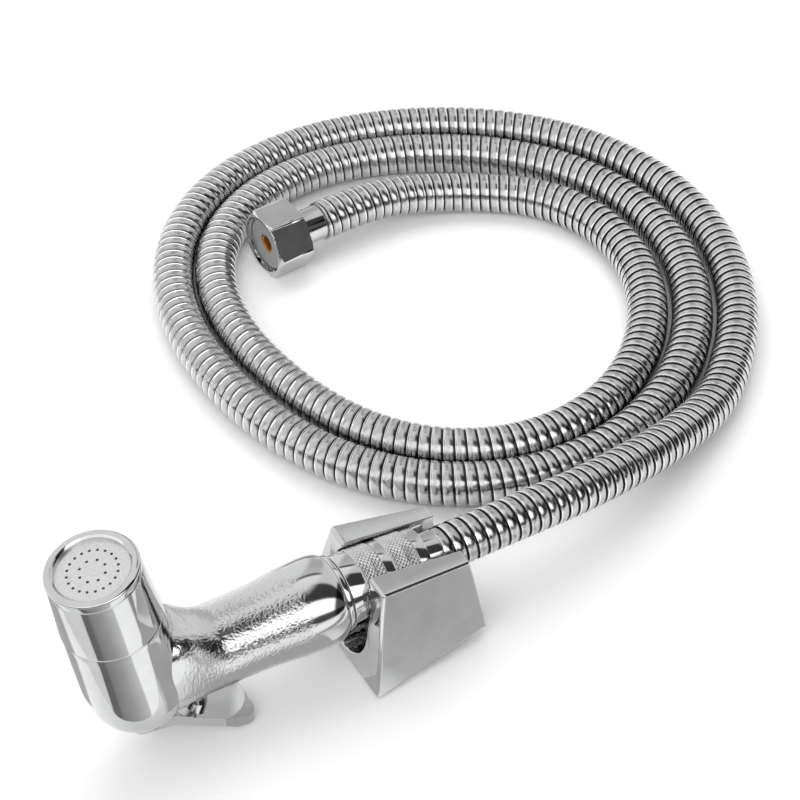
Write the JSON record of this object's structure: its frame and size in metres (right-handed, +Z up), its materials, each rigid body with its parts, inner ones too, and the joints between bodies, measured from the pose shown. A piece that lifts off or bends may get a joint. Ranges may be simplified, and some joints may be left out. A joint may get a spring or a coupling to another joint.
{
  "type": "handheld bath sprayer",
  "caption": "Chromed hand sprayer with an angled nozzle head and trigger lever, a long ribbed metal hose with union nuts at both ends, and a slotted wall bracket that cradles its cone nut.",
  "frame": {"origin": "on the floor below the middle of the box round handset and bracket", "axes": "+X along the handle's axis from the spray head to the hose, +Z up, part lying on the floor"},
  "size_m": [0.2945, 0.2429, 0.0767],
  "materials": {
    "plated_brass": "bright chrome over brass",
    "plated_plastic": "chrome plated, glossy",
    "satin_steel": "satin",
    "brass": "turned",
    "black_rubber": "matt",
    "grey_rubber": "matt",
    "white_plastic": "moulded",
    "hose_steel": "polished"
  },
  "bodies": {
    "handset": {"handle_body": "plated_brass", "head_o_ring": "black_rubber", "valve_seat": "brass", "stem_gland": "brass", "stem_o_ring": "black_rubber", "lever_pin": "satin_steel", "end_collar": "plated_brass", "inlet_nipple": "brass", "inlet_washer": "grey_rubber", "near_insert": "brass", "near_ferrule": "plated_brass", "hose_run": "hose_steel", "hose_coil": "hose_steel", "hose_tail": "hose_steel", "far_washer": "grey_rubber", "far_insert": "brass", "far_ferrule": "plated_brass"},
    "spray_head": {"head_sleeve": "plated_brass", "nozzle_cap": "plated_brass", "spray_plate": "satin_steel", "face_gasket": "black_rubber", "flow_diffuser": "white_plastic"},
    "trigger": {"trigger_lever": "plated_brass"},
    "valve": {"valve_stem": "satin_steel", "valve_washer": "black_rubber", "washer_retainer": "satin_steel", "valve_spring": "satin_steel"},
    "handset_nut": {"conical_nut": "plated_brass"},
    "supply_nut": {"hex_nut": "plated_brass"},
    "wall_bracket": {"bracket": "plated_plastic"}
  },
  "joints": [
    {"name": "head_swivel", "type": "hinge", "parent": "handset", "child": "spray_head", "pos_m": [-0.04164, 0, 0.025], "axis": [-0.1564, 0, 0.9877], "continuous": true},
    {"name": "trigger_pull", "type": "hinge", "parent": "handset", "child": "trigger", "pos_m": [-0.03864, 0, 0.007], "axis": [0, -1, 0], "range_deg": [0, 10], "stiffness_Nm_per_rad": 0.4, "springref_deg": -11.46},
    {"name": "valve_lift", "type": "slide", "parent": "handset", "child": "valve", "axis": [0, 0, 1], "range_m": [0, 0.0027], "deforming": ["valve_spring"]},
    {"name": "handset_nut_turn", "type": "hinge", "parent": "handset", "child": "handset_nut", "pos_m": [0.03536, 0, 0.025], "axis": [1, 0, 0], "continuous": true},
    {"name": "supply_nut_turn", "type": "hinge", "parent": "handset", "child": "supply_nut", "pos_m": [0.08809, 0.16509, 0.011], "axis": [0.9962, 0.0872, 0], "continuous": true},
    {"name": "bracket_release", "type": "slide", "parent": "handset", "child": "wall_bracket", "axis": [1, 0, 0], "range_m": [0, 0.024]}
  ],
  "couplings": [
    {"joint": "valve_lift", "follows": "trigger_pull", "m_per_rad": 0.015}
  ]
}
